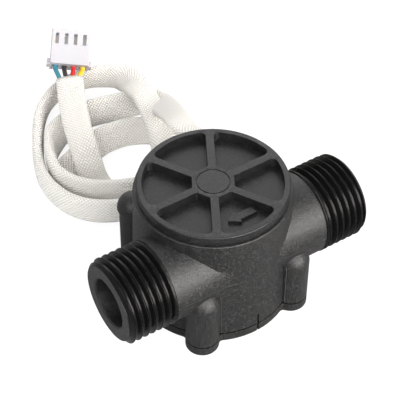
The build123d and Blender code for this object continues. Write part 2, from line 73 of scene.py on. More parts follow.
# The numbers of a Mix node's colour sockets, because its other sockets share their names.
MIX_FIRST, MIX_SECOND, MIX_RESULT = 6, 7, 2
Colour = tuple[float, float, float]
Direction = tuple[float, float, float]
# A mask's limit and the soft width next to it.
Edge = tuple[float, float]


class End(Enum):
    """The two threaded ends, each with the sign of its x."""

    OUTLET = -1
    INLET = 1


class Value:
    """One shader socket. Arithmetic on it adds Math nodes to its graph."""

    def __init__(self, graph: "Graph", socket: bpy.types.NodeSocket) -> None:
        """Wraps a socket of a graph."""
        self.graph = graph
        self.socket = socket

    def math(self, operation: str, *others: "Value | float", clamp: bool = False) -> "Value":
        """Adds one Math node.

        Args:
            operation: the Math node's operation.
            others: the node's other inputs.
            clamp: whether the result is held between 0 and 1.

        Returns:
            The node's result.
        """
        settings = {"operation": operation, "use_clamp": clamp}
        return self.graph.add("ShaderNodeMath", settings, dict(enumerate((self, *others))))

    def __add__(self, other: "Value | float") -> "Value":
        """self + other."""
        return self.math("ADD", other)

    def __sub__(self, other: "Value | float") -> "Value":
        """self - other."""
        return self.math("SUBTRACT", other)

    def __mul__(self, other: "Value | float") -> "Value":
        """self * other."""
        return self.math("MULTIPLY", other)

    __radd__ = __add__
    __rmul__ = __mul__

    def __rsub__(self, other: float) -> "Value":
        """other - self."""
        return (self * -1.0) + other

    def __abs__(self) -> "Value":
        """The value without its sign."""
        return self.math("ABSOLUTE")

    def __pow__(self, other: float) -> "Value":
        """self to a power."""
        return self.math("POWER", other)

    def sine(self) -> "Value":
        """The sine of the value."""
        return self.math("SINE")

    def below(self, limit: float, soft: float) -> "Value":
        """A mask: 1 under the limit, falling to 0 over a soft width.

        Args:
            limit: where the mask starts to fall.
            soft: the width of the fall.

        Returns:
            The mask.
        """
        return ((limit + soft) - self).math("DIVIDE", soft, clamp=True)

    def above(self, limit: float, soft: float) -> "Value":
        """A mask: 1 over the limit, falling to 0 over a soft width below it."""
        return (self - (limit - soft)).math("DIVIDE", soft, clamp=True)


class Graph:
    """A material's or a world's node tree, with one method that makes any node."""

    def __init__(self, owner: bpy.types.Material | bpy.types.World) -> None:
        """Empties the owner's node tree.

        Args:
            owner: the material or world whose tree it is.
        """
        self.owner = owner
        self.owner.use_nodes = True
        self.tree = self.owner.node_tree
        self.tree.nodes.clear()

    @classmethod
    def named(cls, name: str) -> "Graph":
        """The empty graph of a new material of that name."""
        return cls(bpy.data.materials.new(name))

    def node(
        self,
        kind: str,
        settings: dict[str, object] | None = None,
        inputs: dict[str | int, object] | None = None,
    ) -> bpy.types.Node:
        """Makes one node.

        Args:
            kind: the node's type name.
            settings: the node's own attributes, which are set first.
            inputs: a constant or a Value for each named or numbered socket.

        Returns:
            The node.
        """
        node = self.tree.nodes.new(kind)
        for key, value in (settings or {}).items():
            setattr(node, key, value)
        for key, value in (inputs or {}).items():
            socket = node.inputs[key]
            if isinstance(value, Value):
                self.tree.links.new(value.socket, socket)
            elif socket.type == "RGBA":
                socket.default_value = (*value, 1.0)
            else:
                socket.default_value = value
        return node

    def add(
        self,
        kind: str,
        settings: dict[str, object] | None = None,
        inputs: dict[str | int, object] | None = None,
        output: str | int = 0,
    ) -> Value:
        """Makes one node, as node() does, and gives the output of that name or number."""
        return Value(self, self.node(kind, settings, inputs).outputs[output])

    def place_mm(self) -> Value:
        """The point on the surface in millimetres of its piece's own frame."""
        coordinates = self.add("ShaderNodeTexCoord", output="Object")
        return self.add("ShaderNodeVectorMath", {"operation": "SCALE"}, {0: coordinates, "Scale": 1 / MM})

    def parts(self, vector: Value) -> tuple[Value, Value, Value]:
        """A vector's three components."""
        node = self.node("ShaderNodeSeparateXYZ", inputs={0: vector})
        return tuple(Value(self, socket) for socket in node.outputs)

    def noise(self, vector: Value, size: float, detail: float = 3.0, roughness: float = 0.55) -> Value:
        """Smooth noise between 0 and 1.

        Args:
            vector: the coordinates, in millimetres.
            size: the size of one feature, in millimetres.
            detail: how many finer layers it has.
            roughness: how strong the finer layers are.

        Returns:
            The noise.
        """
        inputs = {"Vector": vector, "Scale": 1 / size, "Detail": detail, "Roughness": roughness}
        return self.add("ShaderNodeTexNoise", {"noise_dimensions": "3D"}, inputs)

    def cells(self, vector: Value, size: float) -> Value:
        """A random value between 0 and 1 for each small cell.

        Args:
            vector: the coordinates, in millimetres.
            size: the size of one cell, in millimetres.

        Returns:
            The value.
        """
        inputs = {"Vector": vector, "Scale": 1 / size}
        colour = self.add("ShaderNodeTexVoronoi", inputs=inputs, output="Color")
        return self.parts(colour)[0]

    def mix(self, mask: Value, first: Colour | Value, second: Colour | Value) -> Value:
        """Blends two colours: a mask of 0 gives the first and 1 the second."""
        inputs = {0: mask, MIX_FIRST: first, MIX_SECOND: second}
        return self.add("ShaderNodeMix", {"data_type": "RGBA"}, inputs, MIX_RESULT)

    def shades(self, mask: Value, colour: Colour, factors: tuple[float, float]) -> Value:
        """One colour, times the first factor where a mask is 0 and the second where it is 1."""
        first, second = factors
        return self.mix(mask, lighter(colour, first), lighter(colour, second))

    def bump(self, height: Value, depth_mm: float) -> Value:
        """A normal from a height between 0 and 1, with its depth in millimetres."""
        inputs = {"Height": height, "Distance": depth_mm * MM, "Strength": 1.0}
        return self.add("ShaderNodeBump", inputs=inputs)

    def shader(self, **inputs: object) -> Value:
        """A Principled shader, its sockets given by name with underscores for spaces."""
        named = {key.replace("_", " "): value for key, value in inputs.items()}
        return self.add("ShaderNodeBsdfPrincipled", inputs=named)

    def surface(self, **inputs: object) -> bpy.types.Material:
        """Ends the graph in a Principled shader and returns the material."""
        return self.close(self.shader(**inputs))

    def close(self, shader: Value) -> bpy.types.Material:
        """Joins a shader to the material's output and returns the material."""
        self.node("ShaderNodeOutputMaterial", inputs={"Surface": shader})
        return self.owner


def lighter(colour: Colour, factor: float) -> Colour:
    """A colour times a factor, held at white."""
    return tuple(min(1.0, part * factor) for part in colour)


@dataclass(frozen=True)
class MouldLines:
    """The body's fine raised lines in millimetres: its mould's parting plane and front slide.

    Each edge is a limit and the soft width beyond it. The lines' relief is real; their lighter colour in
    the moulding is a painted highlight.
    """

    parting: Edge = (0.03, 0.07)
    parting_reach: Edge = (20.6, 0.1)
    parting_front: Edge = (-11.0, 0.5)
    slide: Edge = (0.03, 0.08)
    slide_middle: float = 0.3
    slide_half: float = 9.0
    slide_front: Edge = (-14.0, 0.3)
    slide_top: Edge = (14.5, 1.0)

    def mask(self, graph: Graph, place: Value) -> Value:
        """Where the lines lie.

        Args:
            graph: the graph that takes the nodes.
            place: the point on the surface, in millimetres.

        Returns:
            A mask that is 1 on a line.
        """
        x, y, z = graph.parts(place)
        parting = abs(z - PIPE_Z).below(*self.parting)
        parting = parting * abs(x).below(*self.parting_reach) * y.below(*self.parting_front)
        slide = abs(abs(x - self.slide_middle) - self.slide_half).below(*self.slide)
        slide = slide * y.below(*self.slide_front) * z.below(*self.slide_top)
        return parting.math("MAXIMUM", slide)


@dataclass(frozen=True)
class Moulding:
    """Moulded nylon: fine grain, pale flecks, a satin skin, mould lines with a painted highlight, and a
    painted shadow line at the base cover's seam.
    """

    name: str
    colour: Colour = (0.0007, 0.0007, 0.00075)
    roughness: float = 0.38
    gloss: float = 0.52
    grain_mm: float = 0.25
    grain_depth: float = 0.25
    grain_shares: tuple[float, float] = (0.3, 0.7)
    grain_rough: float = 0.8
    cloud_mm: float = 6.0
    cloud_rough: float = 0.08
    cloud_shades: tuple[float, float] = (0.8, 1.2)
    fleck: float = 20.0
    fleck_edge: Edge = (0.86, 0.16)
    lines: MouldLines | None = None
    # How fully the painted highlight covers a mould line, and how many times lighter than the nylon it is
    # painted.
    line_highlight_cover: float = 0.8
    line_highlight: float = 70.0
    line_height: float = 2.0
    # The painted shadow line at the base cover's seam: its half width and soft edge, then its near-black
    # colour.
    seam_shadow: Edge = (0.12, 0.08)
    seam_shadow_colour: Colour = (0.002, 0.002, 0.002)

    def material(self) -> bpy.types.Material:
        """Makes the material.

        Returns:
            The material.
        """
        graph = Graph.named(self.name)
        place = graph.place_mm()
        grain = graph.noise(place, self.grain_mm, detail=1.0, roughness=0.6)
        cloud = graph.noise(place, self.cloud_mm, detail=2.0)
        cell = graph.cells(place, self.grain_mm)
        colour = graph.shades(cloud, self.colour, self.cloud_shades)
        colour = graph.mix(cell.above(*self.fleck_edge), colour, lighter(self.colour, 1 + self.fleck))
        roughness = cloud * self.cloud_rough + cell * (self.grain_depth * self.grain_rough)
        roughness = roughness + (self.roughness - self.cloud_rough / 2)
        smooth, coarse = self.grain_shares
        height = grain * smooth + cell * coarse
        if self.lines:
            # Mould lines: raised by the bump as real relief, and painted lighter as a painted highlight
            # along each ridge.
            line = self.lines.mask(graph, place)
            colour = graph.mix(line * self.line_highlight_cover, colour, lighter(self.colour, self.line_highlight))
            height = height + line * self.line_height
        skin = graph.shader(
            Base_Color=colour,
            Roughness=roughness,
            Normal=graph.bump(height, self.grain_depth),
            Specular_IOR_Level=self.gloss,
        )
        # Painted shadow: a near-black matte band at the base cover's seam, standing in for the shadow in
        # that crevice.
        seam_shadow_shader = graph.add("ShaderNodeBsdfDiffuse", inputs={"Color": self.seam_shadow_colour})
        seam_shadow = abs(graph.parts(place)[2] - JOINT_Z).below(*self.seam_shadow)
        return graph.close(graph.add("ShaderNodeMixShader", inputs={0: seam_shadow, 1: skin, 2: seam_shadow_shader}))


@dataclass(frozen=True)
class Braid:
    """A braided sleeve: fine crossing yarns over the whole surface, with painted shadow between the yarns.
    """

    name: str
    colour: Colour = (0.95, 0.925, 0.88)
    # The painted shadow colour in the grooves between the yarns.
    yarn_gap_shadow: Colour = (0.50, 0.465, 0.40)
    depth: float = 0.38
    roundness: float = 0.45
    roughness: float = 0.68
    cloud_mm: float = 5.0
    cloud_share: float = 0.2
    cloud_shade: float = 0.85
    cloud_rough: float = 0.1
    fuzz_mm: float = 0.3
    fuzz_share: float = 0.25
    fuzz_height: float = 0.15
    sheen: float = 0.5
    sheen_roughness: float = 0.5

    def material(self) -> bpy.types.Material:
        """Makes the material; the UV map counts yarns along the sleeve and around it.

        Returns:
            The material.
        """
        graph = Graph.named(self.name)
        yarn = graph.add("ShaderNodeUVMap", {"uv_map": "yarns"})
        along, around, _ = graph.parts(yarn)
        first = (along + around) * math.pi
        second = (along - around) * math.pi
        knots = abs(first.sine() * second.sine()) ** self.roundness
        place = graph.place_mm()
        cloud = graph.noise(place, self.cloud_mm, detail=3.0)
        fuzz = graph.noise(place, self.fuzz_mm, detail=2.0)
        # Painted light and shadow of the weave: the yarn crossings keep the full colour and the grooves
        # between them are painted darker, mixed with random fuzz.
        lit = knots * (1 - self.fuzz_share) + fuzz * self.fuzz_share
        colour = graph.mix(lit, self.yarn_gap_shadow, self.colour)
        colour = graph.mix(cloud * self.cloud_share, colour, lighter(self.colour, self.cloud_shade))
        return graph.surface(
            Base_Color=colour,
            Roughness=cloud * self.cloud_rough + self.roughness,
            Normal=graph.bump(knots + fuzz * self.fuzz_height, self.depth),
            Sheen_Weight=self.sheen,
            Sheen_Roughness=self.sheen_roughness,
        )


@dataclass(frozen=True)
class Insulation:
    """Smooth wire insulation with faint waves along it."""

    name: str
    colour: Colour
    factors: tuple[float, float] = (0.8, 1.15)
    roughness: float = 0.28
    wave_mm: float = 1.2
    wave_depth: float = 0.04
    wave_rough: float = 0.12

    def material(self) -> bpy.types.Material:
        """Makes the material.

        Returns:
            The material.
        """
        graph = Graph.named(self.name)
        wave = graph.noise(graph.place_mm(), self.wave_mm, detail=2.0)
        return graph.surface(
            Base_Color=graph.shades(wave, self.colour, self.factors),
            Roughness=wave * self.wave_rough + self.roughness,
            Normal=graph.bump(wave, self.wave_depth),
        )


@dataclass(frozen=True)
class SmoothPlastic:
    """A smooth moulded plastic, such as a plug's housing or a chip's case."""

    name: str
    colour: Colour
    roughness: float = 0.35
    translucent: float = 0.0
    factors: tuple[float, float] = (0.93, 1.0)
    cloud_mm: float = 2.5
    fine_mm: float = 0.12
    fine_depth: float = 0.008
    fine_rough: float = 0.1
    scatter: float = 0.002

    def material(self) -> bpy.types.Material:
        """Makes the material.

        Returns:
            The material.
        """
        graph = Graph.named(self.name)
        place = graph.place_mm()
        cloud = graph.noise(place, self.cloud_mm, detail=3.0)
        fine = graph.noise(place, self.fine_mm, detail=2.0)
        return graph.surface(
            Base_Color=graph.shades(cloud, self.colour, self.factors),
            Roughness=fine * self.fine_rough + self.roughness,
            Normal=graph.bump(fine, self.fine_depth),
            Subsurface_Weight=self.translucent,
            Subsurface_Scale=self.scatter,
        )


@dataclass(frozen=True)
class Metal:
    """Drawn or plated metal with fine scratches along one way, or a sintered magnet."""

    name: str
    colour: Colour
    roughness: float
    metallic: float = 1.0
    factors: tuple[float, float] = (0.82, 1.1)
    streaks_per_mm: tuple[float, float, float] = (8.0, 8.0, 0.6)
    streak_depth: float = 0.01
    streak_rough: float = 0.18

    def material(self) -> bpy.types.Material:
        """Makes the material.

        Returns:
            The material.
        """
        graph = Graph.named(self.name)
        parts = graph.parts(graph.place_mm())
        stretched = {index: part * self.streaks_per_mm[index] for index, part in enumerate(parts)}
        streak = graph.noise(graph.add("ShaderNodeCombineXYZ", inputs=stretched), 1.0, detail=3.0)
        return graph.surface(
            Base_Color=graph.shades(streak, self.colour, self.factors),
            Roughness=streak * self.streak_rough + (self.roughness - self.streak_rough / 3),
            Normal=graph.bump(streak, self.streak_depth),
            Metallic=self.metallic,
        )


@dataclass(frozen=True)
class Rubber:
    """Matte black rubber with a bloom."""

    name: str
    colour: Colour = (0.018, 0.018, 0.018)
    factors: tuple[float, float] = (1.0, 2.2)
    roughness: float = 0.7
    bloom_mm: float = 1.5
    bloom_depth: float = 0.02
    bloom_rough: float = 0.15

    def material(self) -> bpy.types.Material:
        """Makes the material.

        Returns:
            The material.
        """
        graph = Graph.named(self.name)
        bloom = graph.noise(graph.place_mm(), self.bloom_mm, detail=4.0)
        return graph.surface(
            Base_Color=graph.shades(bloom, self.colour, self.factors),
            Roughness=bloom * self.bloom_rough + self.roughness,
            Normal=graph.bump(bloom, self.bloom_depth),
        )


def link(name: str, data: bpy.types.ID) -> bpy.types.Object:
    """Puts new data into the scene.

    Args:
        name: the object's name.
        data: a mesh, a curve, a lamp or a camera.

    Returns:
        The object.
    """
    made = bpy.data.objects.new(name, data)
    bpy.context.scene.collection.objects.link(made)
    return made


def give(piece: bpy.types.Object, *materials: bpy.types.Material) -> None:
    """Replaces a piece's materials.

    Clearing an empty list would still reset the faces' material numbers, so that is left out.

    Args:
        piece: the piece to dress.
        materials: its materials, in the order that its faces count them.
    """
    if piece.data.materials:
        piece.data.materials.clear()
    for material in materials:
        piece.data.materials.append(material)


def cut_faces(mesh: bmesh.types.BMesh, test: Callable[[Vector], bool]) -> None:
    """Deletes the faces whose centre, in millimetres, passes a test."""
    doomed = [face for face in mesh.faces if test(face.calc_center_median() / MM)]
    bmesh.ops.delete(mesh, geom=doomed, context="FACES")


@dataclass
class Shell:
    """A copy of a CAD node with its sharp edges eased, which the CAD node gives way to."""

    node: str
    name: str
    slot: str
    finish: Moulding | SmoothPlastic
    ease_mm: float = 0.12
    sharp_degrees: float = 38.0
    weld_mm: float = 0.002

    def build(self, frame: dict) -> bpy.types.Object:
        """Copies the node's mesh, eases its edges and dresses it.

        Args:
            frame: the loaded frame.

        Returns:
            The new piece.
        """
        mesh = bmesh.new()
        mesh.from_mesh(frame["nodes"][self.node].data)
        bmesh.ops.remove_doubles(mesh, verts=mesh.verts, dist=self.weld_mm * MM)
        self.change(mesh)
        data = bpy.data.meshes.new(self.name)
        mesh.to_mesh(data)
        mesh.free()
        data.shade_smooth()
        piece = link(self.name, data)
        bevel = piece.modifiers.new("eased edges", "BEVEL")
        bevel.width = self.ease_mm * MM
        bevel.segments = 2
        bevel.limit_method = "ANGLE"
        bevel.angle_limit = math.radians(self.sharp_degrees)
        bevel.miter_outer = "MITER_ARC"
        flatten = piece.modifiers.new("flat faces", "WEIGHTED_NORMAL")
        flatten.weight = 100
        give(piece, *self.materials())
        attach(piece, HOUSING)
        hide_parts(self.node)
        return piece

    def change(self, mesh: bmesh.types.BMesh) -> None:
        """Changes the copied mesh before it is dressed; plain shells need nothing."""

    def materials(self) -> list[bpy.types.Material]:
        """The piece's materials in slot order."""
        return [self.finish.material()]


@dataclass
class ThreadedBody(Shell):
    """The moulded body, whose plain thread cylinders become true helical threads.

    A phase is the share of a turn by which an end's thread starts ahead.
    """

    pitch: float = 1.814
    crest_r: float = 10.4775
    root_r: float = 9.3155
    face_r: float = 9.35
    start_x: float = 21.0
    stop_x: float = 33.0
    start_margin: float = 0.01
    stop_margin: float = 0.005
    root_margin: float = 0.1
    outlet_phase: float = 0.5435
    inlet_phase: float = 0.0253
    root_share: float = 0.26
    flank_share: float = 0.66
    crest_bend: float = 0.06
    fade_turns: float = 0.4
    rows_per_turn: int = 18
    columns: int = 120
    skin: Moulding = Moulding(
        "thread_nylon", (0.0025, 0.0025, 0.0026), roughness=0.28, gloss=0.15, grain_depth=0.004, fleck=0.3
    )

    def materials(self) -> list[bpy.types.Material]:
        """Grained nylon for the body and a smoother one for the threads."""
        return [self.finish.material(), self.skin.material()]

    def change(self, mesh: bmesh.types.BMesh) -> None:
        """Takes the plain thread cylinders away and grows threads in their place.

        Args:
            mesh: the copied mesh, which changes.
        """
        cut_faces(mesh, self._is_plain_thread)
        for end in End:
            self._grow_thread(mesh, end)

    def _is_plain_thread(self, centre: Vector) -> bool:
        """Tells the faces that the threads take the place of.

        Args:
            centre: a face's centre, in millimetres.

        Returns:
            Whether the face belongs to a plain cylinder or the taper at its end.
        """
        radius = math.hypot(centre.y - PIPE_Y, centre.z - PIPE_Z)
        inside = self.start_x + self.start_margin < abs(centre.x) < self.stop_x - self.stop_margin
        return inside and radius > self.root_r - self.root_margin

    def _radius(self, end: End, along: float, angle: float) -> float:
        """The thread's radius at a place.

        Args:
            end: the threaded end.
            along: distance from the thread's inner end, signed like x.
            angle: angle about the pipe, right-handed about +X.

        Returns:
            The radius in millimetres.
        """
        ahead = self.inlet_phase if end is End.INLET else self.outlet_phase
        phase = (along / self.pitch - angle / (2 * math.pi) + ahead) % 1.0
        rise = abs(2 * phase - 1)
        flank = min(1.0, max(0.0, (rise - self.root_share) / self.flank_share))
        if flank > 0.5:
            flank = min(1.0, flank + self.crest_bend * math.sin(2 * math.pi * flank))
        fade = min(1.0, abs(along) / (self.fade_turns * self.pitch))
        radius = self.crest_r - (self.crest_r - self.root_r) * (1 - flank) * fade
        chamfer = self.face_r + (self.stop_x - self.start_x - abs(along))
        return min(radius, chamfer)

    def _grow_thread(self, mesh: bmesh.types.BMesh, end: End) -> None:
        """Adds the threaded surface of one end.

        Args:
            mesh: the mesh that takes the new faces.
            end: the end that is threaded.
        """
        length = self.stop_x - self.start_x
        count = round(length / self.pitch * self.rows_per_turn)
        rings = []
        for row in range(count + 1):
            along = end.value * length * row / count
            ring = []
            for column in range(self.columns):
                angle = 2 * math.pi * column / self.columns
                radius = self._radius(end, along, angle)
                point = Vector((
                    end.value * self.start_x + along,
                    PIPE_Y + radius * math.cos(angle),
                    PIPE_Z + radius * math.sin(angle),
                ))
                ring.append(mesh.verts.new(point * MM))
            rings.append(ring)
        for low, high in zip(rings, rings[1:]):
            for column in range(self.columns):
                after = (column + 1) % self.columns
                corners = [low[column], low[after], high[after], high[column]]
                face = mesh.faces.new(corners if end is End.OUTLET else corners[::-1])
                face.material_index = 1
                face.smooth = True


@dataclass
class BraidedSleeve:
    """The flat braided sleeve: a listed route, given a flat oval section that leans as it goes.

    Each route point is (x, y, z, lean) in millimetres and degrees. Lean 0 stands the ribbon on
    edge and 90 lays it flat, its upper edge turned to the right of the way it runs.
    """

    width: float = 7.4
    thickness: float = 2.9
    edge_power: float = 0.8
    face_power: float = 0.75
    ridge_mm: float = 0.05
    ridges: int = 4
    yarn_mm: float = 0.92
    ring_mm: float = 0.7
    section_points: int = 28
    steps_per_point: int = 14
    route: tuple[tuple[float, float, float, float], ...] = (
        (8.62, 19.37, 28.65, 112),
        (7.4, 21.8, 28.6, 112),
        (8.2, 27.0, 26.8, 104),
        (11.2, 33.2, 22.6, 92),
        (14.4, 42.0, 16.8, 80),
        (17.3, 50.2, 10.8, 68),
        (19.2, 56.6, 6.2, 56),
        (17.8, 61.0, 4.6, 46),
        (12.6, 62.6, 4.0, 42),
        (7.0, 64.2, 3.75, 42),
        (2.0, 65.2, 3.75, 44),
        (-3.4, 64.6, 3.75, 44),
        (-8.6, 62.6, 3.9, 34),
        (-13.0, 58.2, 4.6, 12),
        (-16.4, 51.2, 6.2, 0),
        (-17.4, 44.2, 6.8, 0),
        (-14.2, 37.6, 6.8, 0),
        (-7.4, 32.8, 6.8, 0),
        (1.0, 31.3, 5.6, 8),
        (8.6, 35.2, 6.4, 48),
        (11.8, 41.0, 9.2, 88),
        (13.4, 47.6, 10.6, 104),
        (15.0, 54.6, 10.6, 104),
        (16.6, 61.6, 8.8, 84),
        (17.8, 68.4, 6.2, 46),
        (15.8, 74.6, 4.4, 6),
        (9.8, 78.0, 3.75, -8),
        (3.0, 78.6, 3.75, -10),
        (-4.0, 76.0, 3.75, -6),
        (-10.0, 70.2, 3.75, 0),
        (-14.2, 63.0, 3.75, 0),
        (-17.9, 55.8, 3.8, 0),
        (-20.5, 47.7, 4.6, 0),
        (-20.4, 37.3, 6.2, 0),
        (-16.1, 30.0, 6.8, 0),
        (-9.3, 26.4, 6.8, 0),
        (-1.1, 23.6, 6.6, 0),
        (8.4, 24.9, 5.0, 0),
        (16.4, 29.0, 3.75, 0),
        (20.0, 36.4, 3.75, 6),
        (18.6, 44.0, 3.75, 20),
        (13.6, 50.6, 3.75, 38),
        (6.6, 54.0, 3.75, 44),
        (-0.4, 54.0, 3.75, 44),
        (-6.6, 51.9, 3.6, 44),
        (-11.4, 50.8, 2.6, 62),
        (-15.2, 49.4, 1.6, 84),
        (-16.6, 45.4, 1.5, 90),
        (-15.6, 40.6, 1.5, 90),
        (-13.6, 36.4, 1.5, 90),
        (-11.0, 32.6, 1.5, 90),
        (-7.8, 33.2, 1.5, 90),
        (-7.6, 38.0, 1.5, 90),
        (-8.0, 43.0, 1.8, 88),
        (-8.0, 45.5, 4.0, 84),
        (-7.7, 47.8, 7.0, 70),
        (-7.2, 50.6, 9.2, 66),
        (-5.4, 56.6, 9.9, 66),
        (-2.4, 64.4, 9.9, 76),
        (1.7, 73.4, 10.2, 88),
    )

    def read_line(self) -> list[Vector]:
        """Lays a smooth spline along the route.

        Returns:
            The points along it, in order and in metres.
        """
        curve = bpy.data.curves.new("sleeve_line", "CURVE")
        curve.dimensions = "3D"
        curve.resolution_u = self.steps_per_point
        spline = curve.splines.new("NURBS")
        spline.points.add(len(self.route) - 1)
        for point, (x, y, z, _) in zip(spline.points, self.route):
            point.co = (x * MM, y * MM, z * MM, 1.0)
        spline.order_u = 3
        spline.use_endpoint_u = True
        line = link("sleeve_line", curve)
        graph = bpy.context.evaluated_depsgraph_get()
        mesh = bpy.data.meshes.new_from_object(line.evaluated_get(graph))
        points = [vertex.co.copy() for vertex in mesh.vertices]
        bpy.data.objects.remove(line)
        bpy.data.meshes.remove(mesh)
        return points

    def lean_at(self, share: float) -> float:
        """The ribbon's lean.

        Args:
            share: the share of the spline's run.

        Returns:
            The lean in radians, eased between the route's points.
        """
        place = share * (len(self.route) - 1)
        index = min(int(place), len(self.route) - 2)
        part = place - index
        part = part * part * (3 - 2 * part)
        low, high = self.route[index][3], self.route[index + 1][3]
        return math.radians(low + (high - low) * part)

    def section(self) -> list[tuple[float, float]]:
        """The flat oval section.

        Returns:
            The place across the width and through the thickness of each point.
        """
        points = []
        for index in range(self.section_points):
            angle = 2 * math.pi * index / self.section_points
            cosine, sine = math.cos(angle), math.sin(angle)
            across = math.copysign(abs(cosine) ** self.edge_power, cosine) * self.width / 2
            ridge = self.ridge_mm * math.cos(2 * math.pi * self.ridges * across / self.width)
            half = self.thickness / 2 + ridge
            points.append((across, math.copysign(abs(sine) ** self.face_power, sine) * half))
        return points

    def build(self) -> tuple[bpy.types.Object, list[Vector]]:
        """Builds the ribbon.

        Returns:
            The piece, and the points that it follows.
        """
        line = self.read_line()
        section = self.section()
        mesh = bmesh.new()
        yarns = mesh.loops.layers.uv.new("yarns")
        rings, marks = self._rings(mesh, line, section)
        around = self._around(section)
        for low, high, start, stop in zip(rings, rings[1:], marks, marks[1:]):
            for index in range(len(section)):
                after = (index + 1) % len(section)
                face = mesh.faces.new([low[index], low[after], high[after], high[index]])
                face.smooth = True
                left, right = around[index], around[index + 1]
                corners = [(start, left), (start, right), (stop, right), (stop, left)]
                for loop, corner in zip(face.loops, corners):
                    loop[yarns].uv = corner
        for ring in (rings[0][::-1], rings[-1]):
            mesh.faces.new(ring)
        bmesh.ops.recalc_face_normals(mesh, faces=mesh.faces)
        data = bpy.data.meshes.new("braided_sleeve")
        mesh.to_mesh(data)
        mesh.free()
        return link("braided_sleeve", data), line

    def _rings(
        self, mesh: bmesh.types.BMesh, line: list[Vector], section: list[tuple[float, float]]
    ) -> tuple[list[list[bmesh.types.BMVert]], list[float]]:
        """Sets a ring of points at each even step along the line, and at both its ends.

        Args:
            mesh: the mesh that takes the points.
            line: the points that the ribbon follows.
            section: the points of its section.

        Returns:
            The rings, and how many yarns along the sleeve each of them lies.
        """
        rings, marks = [], []
        final = len(line) - 1
        run, last = 0.0, -1.0
        for index, point in enumerate(line):
            ahead = line[min(index + 1, final)]
            behind = line[max(index - 1, 0)]
            if index:
                run += (point - behind).length
            if 0 < index < final and run - last < self.ring_mm * MM:
                continue
            last = run
            forward = (ahead - behind).normalized()
            standing = (UP - forward * UP.dot(forward)).normalized()
            right = forward.cross(standing)
            lean = self.lean_at(index / final)
            wide = standing * math.cos(lean) + right * math.sin(lean)
            deep = forward.cross(wide)
            rings.append([mesh.verts.new(point + (wide * a + deep * t) * MM) for a, t in section])
            marks.append(run / MM / self.yarn_mm)
        return rings, marks

    def _around(self, section: list[tuple[float, float]]) -> list[float]:
        """The way round the section in yarns, a whole number of them for the full turn.

        Args:
            section: the points of the section.

        Returns:
            The count at each point, and at the first point once more.
        """
        closed = section + section[:1]
        steps = [math.dist(a, b) for a, b in zip(closed, closed[1:])]
        total = sum(steps)
        whole = round(total / self.yarn_mm)
        marks = [0.0]
        for step in steps:
            marks.append(marks[-1] + step / total * whole)
        return marks


@dataclass
class Lead:
    """One wire's free end, from the sleeve's cut end into its place in the plug, in millimetres."""

    node: str
    colour: Colour
    start: Vector
    forward: Vector
    entry: Vector
    inward: Vector
    radius: float = 0.62
    hidden: float = 2.0
    straight: float = 0.4
    approach: float = 0.8
    seated: float = 3.4

    def build(self) -> bpy.types.Object:
        """Builds the wire as a smooth curve and dresses it.

        Returns:
            The new piece.
        """
        curve = bpy.data.curves.new(f"wire_{self.node}", "CURVE")
        curve.dimensions = "3D"
        curve.bevel_depth = self.radius * MM
        curve.bevel_resolution = 5
        curve.resolution_u = 10
        curve.use_fill_caps = True
        points = [
            self.start - self.forward * self.hidden,
            self.start + self.forward * self.straight,
            self.entry - self.inward * self.approach,
            self.entry,
            self.entry + self.inward * self.seated,
        ]
        spline = curve.splines.new("NURBS")
        spline.points.add(len(points) - 1)
        for target, point in zip(spline.points, points):
            target.co = (*(point * MM), 1.0)
        spline.order_u = 3
        spline.use_endpoint_u = True
        piece = link(f"wire_{self.node}", curve)
        give(piece, Insulation(f"insulation_{self.node}", self.colour).material())
        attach(piece, HOUSING)
        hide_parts(self.node)
        return piece


@dataclass
class Harness:
    """Sleeve, four wires, plug and contacts. Places are in millimetres, with the plug as it lies."""

    plug_base: Vector = field(default_factory=lambda: Vector((4.2, 78.2, 10.1)))
    plug_axis: Vector = field(default_factory=lambda: Vector((0.498, 0.687, 0.529)).normalized())
    plug_across: Vector = field(default_factory=lambda: Vector((0.848, -0.513, -0.133)))
    plug_ease: float = 0.16
    pitch: float = 2.5
    spacing: float = 1.6
    colours: tuple[tuple[str, Colour], ...] = (
        ("lead_teal", (0.035, 0.20, 0.27)),
        ("lead_black", (0.035, 0.03, 0.03)),
        ("lead_red", (0.68, 0.03, 0.035)),
        ("lead_yellow", (0.85, 0.55, 0.02)),
    )

    def build(self, frame: dict) -> list[bpy.types.Object]:
        """Args:
            frame: the loaded frame.

        Returns:
            The sleeve, the plug, the wires and the contacts.
        """
        sleeve = BraidedSleeve()
        ribbon, line = sleeve.build()
        give(ribbon, Braid("braided_yarn").material())
        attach(ribbon, HOUSING)
        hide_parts("sleeve")
        nylon = SmoothPlastic("plug_nylon", (0.4, 0.395, 0.42), 0.4, 0.15)
        shell = Shell("connector_housing", "plug_housing", "connector_plastic", nylon, self.plug_ease)
        plug = shell.build(frame)
        leads = self._leads(line)
        contacts = [frame["nodes"][name.replace("lead", "terminal")] for name, _ in self.colours]
        tin = Metal("tinned_brass", (0.60, 0.58, 0.54), 0.3).material()
        for contact in contacts:
            give(contact, tin)
        length = sum((b - a).length for a, b in zip(line, line[1:]))
        LOG.info("sleeve: %.1f mm long on %d points", length / MM, len(sleeve.route))
        return [ribbon, plug, *leads, *contacts]

    def _leads(self, line: list[Vector]) -> list[bpy.types.Object]:
        """Builds the wires between the sleeve's end and the plug.

        Args:
            line: the points that the sleeve follows, in metres.

        Returns:
            The wires, in the order of their colours.
        """
        end = line[-1] / MM
        forward = (line[-1] - line[-3]).normalized()
        side = forward.cross(UP).normalized()
        across = (self.plug_across - self.plug_axis * self.plug_across.dot(self.plug_axis)).normalized()
        made = []
        for index, (node, colour) in enumerate(self.colours):
            place = index - (len(self.colours) - 1) / 2
            start = end + side * (place * self.spacing)
            entry = self.plug_base + across * (place * self.pitch)
            made.append(Lead(node, colour, start, forward, entry, self.plug_axis).build())
        return made


